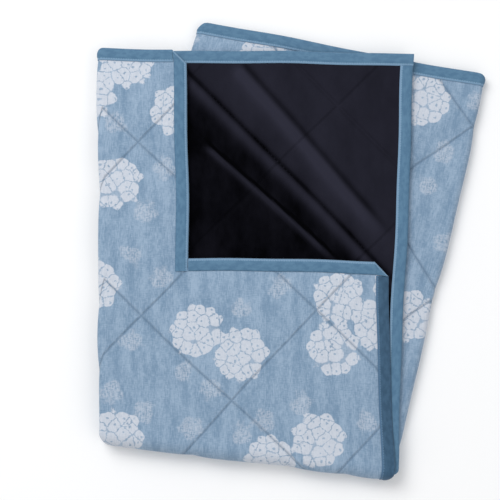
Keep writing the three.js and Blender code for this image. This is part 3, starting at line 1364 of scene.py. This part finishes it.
    def _flat_cloth(
        self, cover: np.ndarray, back: np.ndarray, left: np.ndarray, outward: np.ndarray
    ) -> np.ndarray:
        """Lays the folded cloth flat: the cover keeps its plan, the fold adds its arc, the back is mirrored.

        Args:
            cover: the cover's plan points.
            back: the back panel's plan points.
            left: plan points along the fold.
            outward: the way the fold bulges at each of them.

        Returns:
            Flat cloth points for the whole grid, from the waist's left end.
        """
        arc = np.linspace(0, math.pi * (self.high - self.low) / 2, self.roll_points)
        round_fold = left[:, None] + outward[:, None] * arc[None, 1:-1, None]
        mirrored = np.stack([2 * left[:, None, 0] - back[..., 0] - arc[-1], back[..., 1]], axis=-1)
        return np.concatenate([cover, round_fold, mirrored], axis=1) - self.waist.left

    def build(self) -> list[bpy.types.Object]:
        """Makes the three plies and the tapes of the head half.

        Returns:
            The pieces made.
        """
        pieces = []
        for ply, kind in PLY_NAMES.items():
            piece = self.shop.ply(f"head_{kind}", self.sheet, ply, ["foot_face"])
            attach(piece, Body.HEAD.value)
            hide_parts(f"cover_{kind}", f"head_side_fold_{kind}", f"back_{kind}")
            pieces.append(piece)
        return pieces + self._tapes()

    def _cover_runs(self) -> dict[str, tuple[TapeRun, TapeProfile, list[str]]]:
        """Lays the cover's tapes, with the shoulder's and the notch top's corners folded off.

        Returns:
            The run, the section and the replaced CAD nodes of each tape, by name.
        """
        width, leg = INNER_LIP.width, self.corner_leg
        inner = inset(self.cover, [0, width, width, width, width, 0])
        way = unit(np.roll(self.cover, -1, axis=0) - self.cover)
        shoulder_low, shoulder_high = self.cover[2] - way[1] * leg, self.cover[2] + way[2] * leg
        top_low, top_high = self.cover[4] - way[3] * leg, self.cover[4] + way[4] * leg
        side_foot = self.cover[3] + (inner[3] - self.cover[3]) @ way[3] * way[3]
        nudge = 1 * MM

        def lay(*places: tuple[np.ndarray, np.ndarray]) -> TapeRun:
            """Joins straight runs through pairs of an edge point and the tape's inner point there."""
            runs = [
                straight_run(a, b, (a_in - a) / width, (b_in - b) / width, self.high, 1, self.step)
                for (a, a_in), (b, b_in) in zip(places, places[1:])
            ]
            run = runs[0]
            for following in runs[1:]:
                run = run.joined(following)
            return run

        foot_end = self.cover[3] - (inner[3] - self.cover[3]) @ way[3] * -way[3]
        top = lay((top_high, inner[4] + way[4] * nudge), (self.cover[5], inner[5]))
        side = lay((side_foot, inner[3]), (top_low, inner[4] - way[3] * nudge), (top_high, inner[4]))
        foot = lay(
            (shoulder_low, inner[2]), (shoulder_high, inner[2] + way[2] * nudge), (self.cover[3], foot_end)
        )
        open_side = lay((self.cover[1], inner[1]), (shoulder_low, inner[2] - way[1] * nudge))
        return {
            "head_end": (top, INNER_LIP, ["cover_top_binding", "head_side_fold_binding", "back_top_binding"]),
            "notch_side": (side, OUTER_LIP, ["cover_notch_side_binding"]),
            "notch_foot": (foot, OUTER_LIP, ["cover_notch_foot_binding"]),
            # The cover's open-side tape is darkened with painted shade.
            "cover_side": (open_side, SLOPING, ["cover_side_binding"]),
        }

    def _tapes(self) -> list[bpy.types.Object]:
        """Makes the tape over the head end, round the notch and down both open sides.

        Returns:
            The pieces made.
        """
        width = INNER_LIP.width
        runs = self._cover_runs()
        over, profile, nodes = runs["head_end"]
        inner = inset(self.back, [0, width, width, 0])
        along_top, along_side = unit(self.back[3] - self.back[2]), unit(self.back[1] - self.back[2])
        down = (inner[3] - self.back[3]) / width
        centre, radius = lift(self.cover[5], (self.high + self.low) / 2), (self.high - self.low) / 2
        turn = round_run(centre, UP, lift(along_top, 0.0), radius, lift(down, 0.0), self.roll_points)
        under = straight_run(self.back[3], self.back[2], down, along_side, self.low, -1, self.step)
        runs["head_end"] = (over.joined(turn).joined(under), profile, nodes)
        butt = self.back[2] + along_side * (width - 0.5 * MM)
        inwards = (inner[1] - self.back[1]) / width
        side = straight_run(self.back[1], butt, inwards, along_top, self.low, 1, self.step)
        runs["back_side"] = (side, INNER_LIP, ["back_side_binding"])
        pieces = []
        for name, (run, section, replaced) in runs.items():
            piece = self.shop.tape(f"{name}_tape", run, section)
            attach(piece, Body.HEAD.value)
            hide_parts(*replaced)
            pieces.append(piece)
        return pieces


@dataclass
class FootHalf(Half):
    """The closed pocket for the feet: two panels joined down both sides, askew under the head half."""

    tuck: float = 3 * MM

    def __post_init__(self) -> None:
        """Reads the outline from the frame and works out the grid of quilt."""
        self.high, self.low = self.heights("foot_top_wadding", "foot_base_wadding")
        self.outline = np.array([
            self.waist.left,
            corner("foot_top_wadding", 1, -1),
            corner("foot_top_top_binding", 1, 1),
            corner("foot_top_top_binding", -1, 1),
        ])
        self.sheet = self._sheet()

    def _sheet(self) -> Sheet:
        """Joins both panels and both side folds into one grid of quilt.

        Returns:
            The grid, with columns from the right fold's underside over the top and back beneath.
        """
        bottom_left, bottom_right, top_right, top_left = inset(self.outline, [0, 0, self.tuck, 0])
        side = float(np.linalg.norm(top_left - bottom_left))
        v = held(np.linspace(0, 1, steps(side, self.step)), side)
        left, right = lerp(bottom_left, top_left, v), lerp(bottom_right, top_right, v)
        across = np.linspace(1, 0, steps(float(np.linalg.norm(bottom_right - bottom_left)), self.step))
        upper = left[:, None] + (right - left)[:, None] * across[None, :, None]
        lower = upper[:, ::-1]
        outward = unit(left - right)
        left_roll, left_out = self.side_roll(left, outward, self.high, self.low)
        right_roll, right_out = self.side_roll(right, -outward, self.high, self.low)
        parts = [right_roll[:, :0:-1], lift(upper, self.high), left_roll[:, 1:-1], lift(lower, self.low)]
        shape = upper.shape[:2] + (3,)
        up, down = np.broadcast_to(UP, shape), np.broadcast_to(-UP, shape)
        ways = [right_out[:, :0:-1], up, left_out[:, 1:-1], down]
        middle, normal = np.concatenate(parts, axis=1), np.concatenate(ways, axis=1)
        cloth = self._flat_cloth(upper, left, outward, right)
        end = [(self.outline[2], self.outline[3])]
        from_tape = distance_to_edges(middle[..., :2], end) - INNER_LIP.width
        thickness = self.shop.quilting.thickness(cloth, from_tape)
        bold, faded = (FOOT_PRINT.distance(cloth, heads) for heads in (FOOT_PRINT.bold, FOOT_PRINT.faded))
        keep = np.ones((middle.shape[0] - 1, middle.shape[1] - 1), bool)
        return Sheet(middle, normal, cloth, cloth, thickness, bold, faded, np.full(bold.shape, 0.3), keep)

    def _flat_cloth(
        self, upper: np.ndarray, left: np.ndarray, outward: np.ndarray, right: np.ndarray
    ) -> np.ndarray:
        """Lays the pocket's cloth flat, turned so that its threads run along its own sides.

        Args:
            upper: the upper panel's plan points.
            left: plan points along the left fold.
            outward: the way the left fold bulges at each of them.
            right: plan points along the right fold.

        Returns:
            Flat cloth points for the whole grid.
        """
        arc = np.linspace(0, math.pi * (self.high - self.low) / 2, self.roll_points)
        round_right = right[:, None] - outward[:, None] * arc[None, :0:-1, None]
        round_left = left[:, None] + outward[:, None] * arc[None, 1:-1, None]
        gap = left[:, None] + outward[:, None] * arc[-1]
        lower = gap + outward[:, None] * np.linalg.norm(upper[:, ::-1] - left[:, None], axis=-1)[..., None]
        whole = np.concatenate([round_right, upper, round_left, lower], axis=1) - self.waist.left
        side = unit(self.outline[3] - self.outline[0])
        return np.stack([whole @ np.array([side[1], -side[0]]), whole @ side], axis=-1)

    def build(self) -> list[bpy.types.Object]:
        """Makes the three plies and the end tape of the foot half.

        Returns:
            The pieces made.
        """
        pieces = []
        for ply, kind in PLY_NAMES.items():
            piece = self.shop.ply(f"foot_{kind}", self.sheet, ply, [] if ply is Ply.FACE else ["foot_face"])
            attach(piece, Body.FOOT.value)
            names = ("foot_top", "foot_base", "foot_left_fold", "foot_right_fold")
            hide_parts(*(f"{name}_{kind}" for name in names))
            pieces.append(piece)
        pieces.append(self._tape())
        return pieces

    def _tape(self) -> bpy.types.Object:
        """Makes the tape that runs all round the foot end.

        Returns:
            The piece made.
        """
        width = INNER_LIP.width
        inward = (inset(self.outline, [0, 0, width, 0]) - self.outline) / width
        right, left = self.outline[2], self.outline[3]
        out = lift(unit(left - right), 0.0)
        middle, radius = (self.high + self.low) / 2, (self.high - self.low) / 2
        over = straight_run(right, left, inward[2], inward[3], self.high, 1, self.step)
        turn_left = round_run(lift(left, middle), UP, out, radius, lift(inward[3], 0.0), self.roll_points)
        under = straight_run(left, right, inward[3], inward[2], self.low, -1, self.step)
        turn_right = round_run(lift(right, middle), -UP, -out, radius, lift(inward[2], 0.0), self.roll_points)
        run = over.joined(turn_left).joined(under).joined(turn_right)
        loop = TapeRun(run.edge[:-1], run.inward[:-1], run.normal[:-1])
        piece = self.shop.tape("foot_end_tape", loop, INNER_LIP, closed=True)
        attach(piece, Body.FOOT.value)
        stretches = ("top_top", "left_fold", "base_top", "right_fold")
        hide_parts(*(f"foot_{stretch}_binding" for stretch in stretches))
        return piece


# How far each ply's outermost surface is from the waist's axis where it turns round it
BEND_RADII = {
    ("outer", Ply.FACE): 18.9 * MM,
    ("outer", Ply.WADDING): 17.4 * MM,
    ("outer", Ply.LINING): 11.1 * MM,
    ("inner", Ply.FACE): 1.5 * MM,
    ("inner", Ply.WADDING): 7.8 * MM,
    ("inner", Ply.LINING): 9.3 * MM,
}


@dataclass
class WaistFold:
    """The quilt where it turns round the waist: the cover's outside and the back's within it."""

    waist: Waist
    shop: Workshop
    head: HeadHalf
    turn_points: int = 33

    def _swept(self, columns: slice) -> Sheet:
        """Turns some columns of the head half's lowest row about the waist.

        A point at a height above the axis keeps that height as its radius, and goes from straight up, out
        past the fold and down to straight below.

        Args:
            columns: which columns of the head half's grid.

        Returns:
            The grid, with rows from the foot half up to the head half.
        """
        source = self.head.sheet
        middle, normal = source.middle[0, columns], source.normal[0, columns]
        angle = math.pi * (1 - held(np.linspace(0, 1, self.turn_points), 40 * MM))
        out = lift(self.waist.outward, 0.0)
        radius = middle[:, 2] - self.waist.height
        sine, cosine = np.sin(angle)[:, None, None], np.cos(angle)[:, None, None]
        base = lift(middle[:, :2], self.waist.height)[None]
        swept = base + radius[None, :, None] * (sine * out + cosine * UP)
        rise = normal[:, 2][None, :, None]
        level = (normal * np.array([1.0, 1.0, 0.0]))[None]
        turned = level + rise * (sine * out + cosine * UP)
        arc = angle[:, None] * radius[None, :]
        cloth = source.cloth[0, columns][None] + arc[..., None] * self.waist.outward
        shape = arc.shape
        thickness = np.broadcast_to(source.thickness[0, columns], shape)
        bold, faded = (COVER_PRINT.distance(cloth, heads) for heads in (COVER_PRINT.bold, COVER_PRINT.faded))
        quilting = cloth + (source.quilting[0, columns] - source.cloth[0, columns])[None]
        keep = np.ones((shape[0] - 1, shape[1] - 1), bool)
        return Sheet(swept, turned, cloth, quilting, thickness, bold, faded, np.full(shape, 0.3), keep)

    def _bend(self, piece: bpy.types.Object, radius: float) -> None:
        """Bakes a piece's placement into its mesh."""
        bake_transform(piece)

    def build(self) -> list[bpy.types.Object]:
        """Makes the plies and the tapes that go round the waist.

        Returns:
            The pieces made.
        """
        grid = self.head.sheet.middle.shape[1]
        cover_length = float(np.linalg.norm(self.head.cover[1] - self.head.cover[0]))
        first_of_back = grid - steps(cover_length, self.head.step)
        parts = {"outer": slice(0, first_of_back + 1), "inner": slice(first_of_back, grid)}
        pieces = []
        for part, columns in parts.items():
            sheet = self._swept(columns)
            for ply, kind in PLY_NAMES.items():
                piece = self.shop.ply(f"waist_{part}_{kind}_bend", sheet, ply, ["foot_face"])
                self._bend(piece, BEND_RADII[part, ply])
                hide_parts(f"waist_{part}_{kind}")
                pieces.append(piece)
        return pieces + self._tapes()

    def _tapes(self) -> list[bpy.types.Object]:
        """Makes the two tapes that carry on round the waist at the open side.

        Returns:
            The pieces made.
        """
        pieces = []
        inward = lift(-self.waist.along, 0.0)
        out = lift(self.waist.outward, 0.0)
        ends = (
            # The cover's tape round the waist carries the same painted shade as its open side.
            ("cover", self.head.cover[1], self.head.high, SLOPING),
            ("back", self.head.back[1], self.head.low, INNER_LIP),
        )
        for name, end, height, profile in ends:
            distance = float((end - self.waist.left) @ self.waist.along)
            centre = lift(self.waist.at(np.array(distance)), self.waist.height)
            radius = height - self.waist.height
            run = round_run(centre, UP, out, radius, inward, self.turn_points)
            piece = self.shop.tape(f"{name}_waist_tape", run, profile)
            self._bend(piece, radius)
            pieces.append(piece)
        return pieces


# --------------------------------------------------------------------------- the studio


@dataclass(frozen=True)
class Studio:
    """A pale floor, soft light from the upper left, and a camera that looks almost straight down."""

    aim: tuple[float, float, float] = (-0.0607, -0.0032, 0.02)
    elevation: float = math.radians(85.2)
    field: float = 0.693
    lens: float = 100.0
    sensor: float = 36.0

    def build(self) -> None:
        """Makes the camera, the floor and the lights."""
        self._camera()
        self._floor()
        self._light("key", (-1.4, 1.5, 2.6), 2.0, 64.0)
        self._light("fill", (1.4, -1.0, 2.4), 2.2, 13.0)
        world = bpy.data.worlds.new("studio_air")
        world.use_nodes = True
        world.node_tree.nodes["Background"].inputs[0].default_value = linear("#f7f8fa")
        world.node_tree.nodes["Background"].inputs[1].default_value = 0.62
        bpy.context.scene.world = world
        bpy.context.scene.view_settings.view_transform = "Standard"

    def _camera(self) -> None:
        """Places the camera so that its frame is as wide as the field at the aim."""
        data = bpy.data.cameras.new("studio_camera")
        data.lens, data.sensor_width = self.lens, self.sensor
        camera = bpy.data.objects.new("studio_camera", data)
        away = self.field * self.lens / self.sensor
        back = Vector((0.0, -math.cos(self.elevation), math.sin(self.elevation)))
        camera.location = Vector(self.aim) + back * away
        camera.rotation_euler = (-back).to_track_quat("-Z", "Y").to_euler()
        bpy.context.scene.collection.objects.link(camera)
        bpy.context.scene.camera = camera

    def _floor(self) -> None:
        """Makes a wide matt floor just under the blanket."""
        side = 6.0
        corners = np.array([[-side, -side], [side, -side], [side, side], [-side, side]])
        floor = make_object("floor", lift(corners, -0.0004), np.array([[0, 1, 2, 3]]), np.array([False]))
        material, _, shader = new_material("pale_studio_floor")
        shader.inputs["Base Color"].default_value = linear("#f7f7f7")
        shader.inputs["Roughness"].default_value = 0.9
        floor.data.materials.append(material)

    def _light(self, name: str, place: tuple[float, float, float], size: float, power: float) -> None:
        """Adds a square soft light that faces the blanket."""
        data = bpy.data.lights.new(name, "AREA")
        data.size, data.energy = size, power
        light = bpy.data.objects.new(name, data)
        light.location = place
        light.rotation_euler = (Vector(self.aim) - Vector(place)).to_track_quat("-Z", "Y").to_euler()
        bpy.context.scene.collection.objects.link(light)


def drape_of(waist: Waist) -> Drape:
    """Works out how the bundle settles: which corners draw in and which edge droops.

    Args:
        waist: the waist fold.

    Returns:
        The drape.
    """
    cover, _ = head_outlines(waist)
    bulge = waist.outward * 19 * MM
    foot_right = corner("foot_top_top_binding", 1, 1)
    foot_left = corner("foot_top_top_binding", -1, 1)
    places = (
        (waist.left + bulge - waist.along * 9 * MM, waist.outward - waist.along, 7.0),
        (cover[1] + bulge, waist.outward + waist.along, 3.5),
        (foot_right + np.array([9.0, 0.0]) * MM, np.array([1.2, 1.0]), 6.0),
        (foot_left - np.array([9.0, 0.0]) * MM, np.array([-0.8, 1.2]), 5.0),
        (cover[5] - np.array([9.0, 0.0]) * MM, np.array([-1.0, 1.0]), 2.5),
    )
    cuts = tuple(CornerCut(place, unit(outward), depth * MM, 6 * MM) for place, outward, depth in places)
    return Drape(cuts, cover[1], cover[2])


def main() -> None:
    """Builds the studio, then the blanket from its foot half up."""
    logging.basicConfig(level=logging.INFO, format="%(message)s")
    Studio().build()
    waist = waist_of_frame()
    shop = Workshop(Quilting(), drape_of(waist))
    foot = FootHalf(waist, shop)
    head = HeadHalf(waist, shop)
    for part in (foot, head, WaistFold(waist, shop, head)):
        for piece in part.build():
            log.info("%s: %d faces", piece.name, len(piece.data.polygons))


if __name__ == "__main__":
    main()
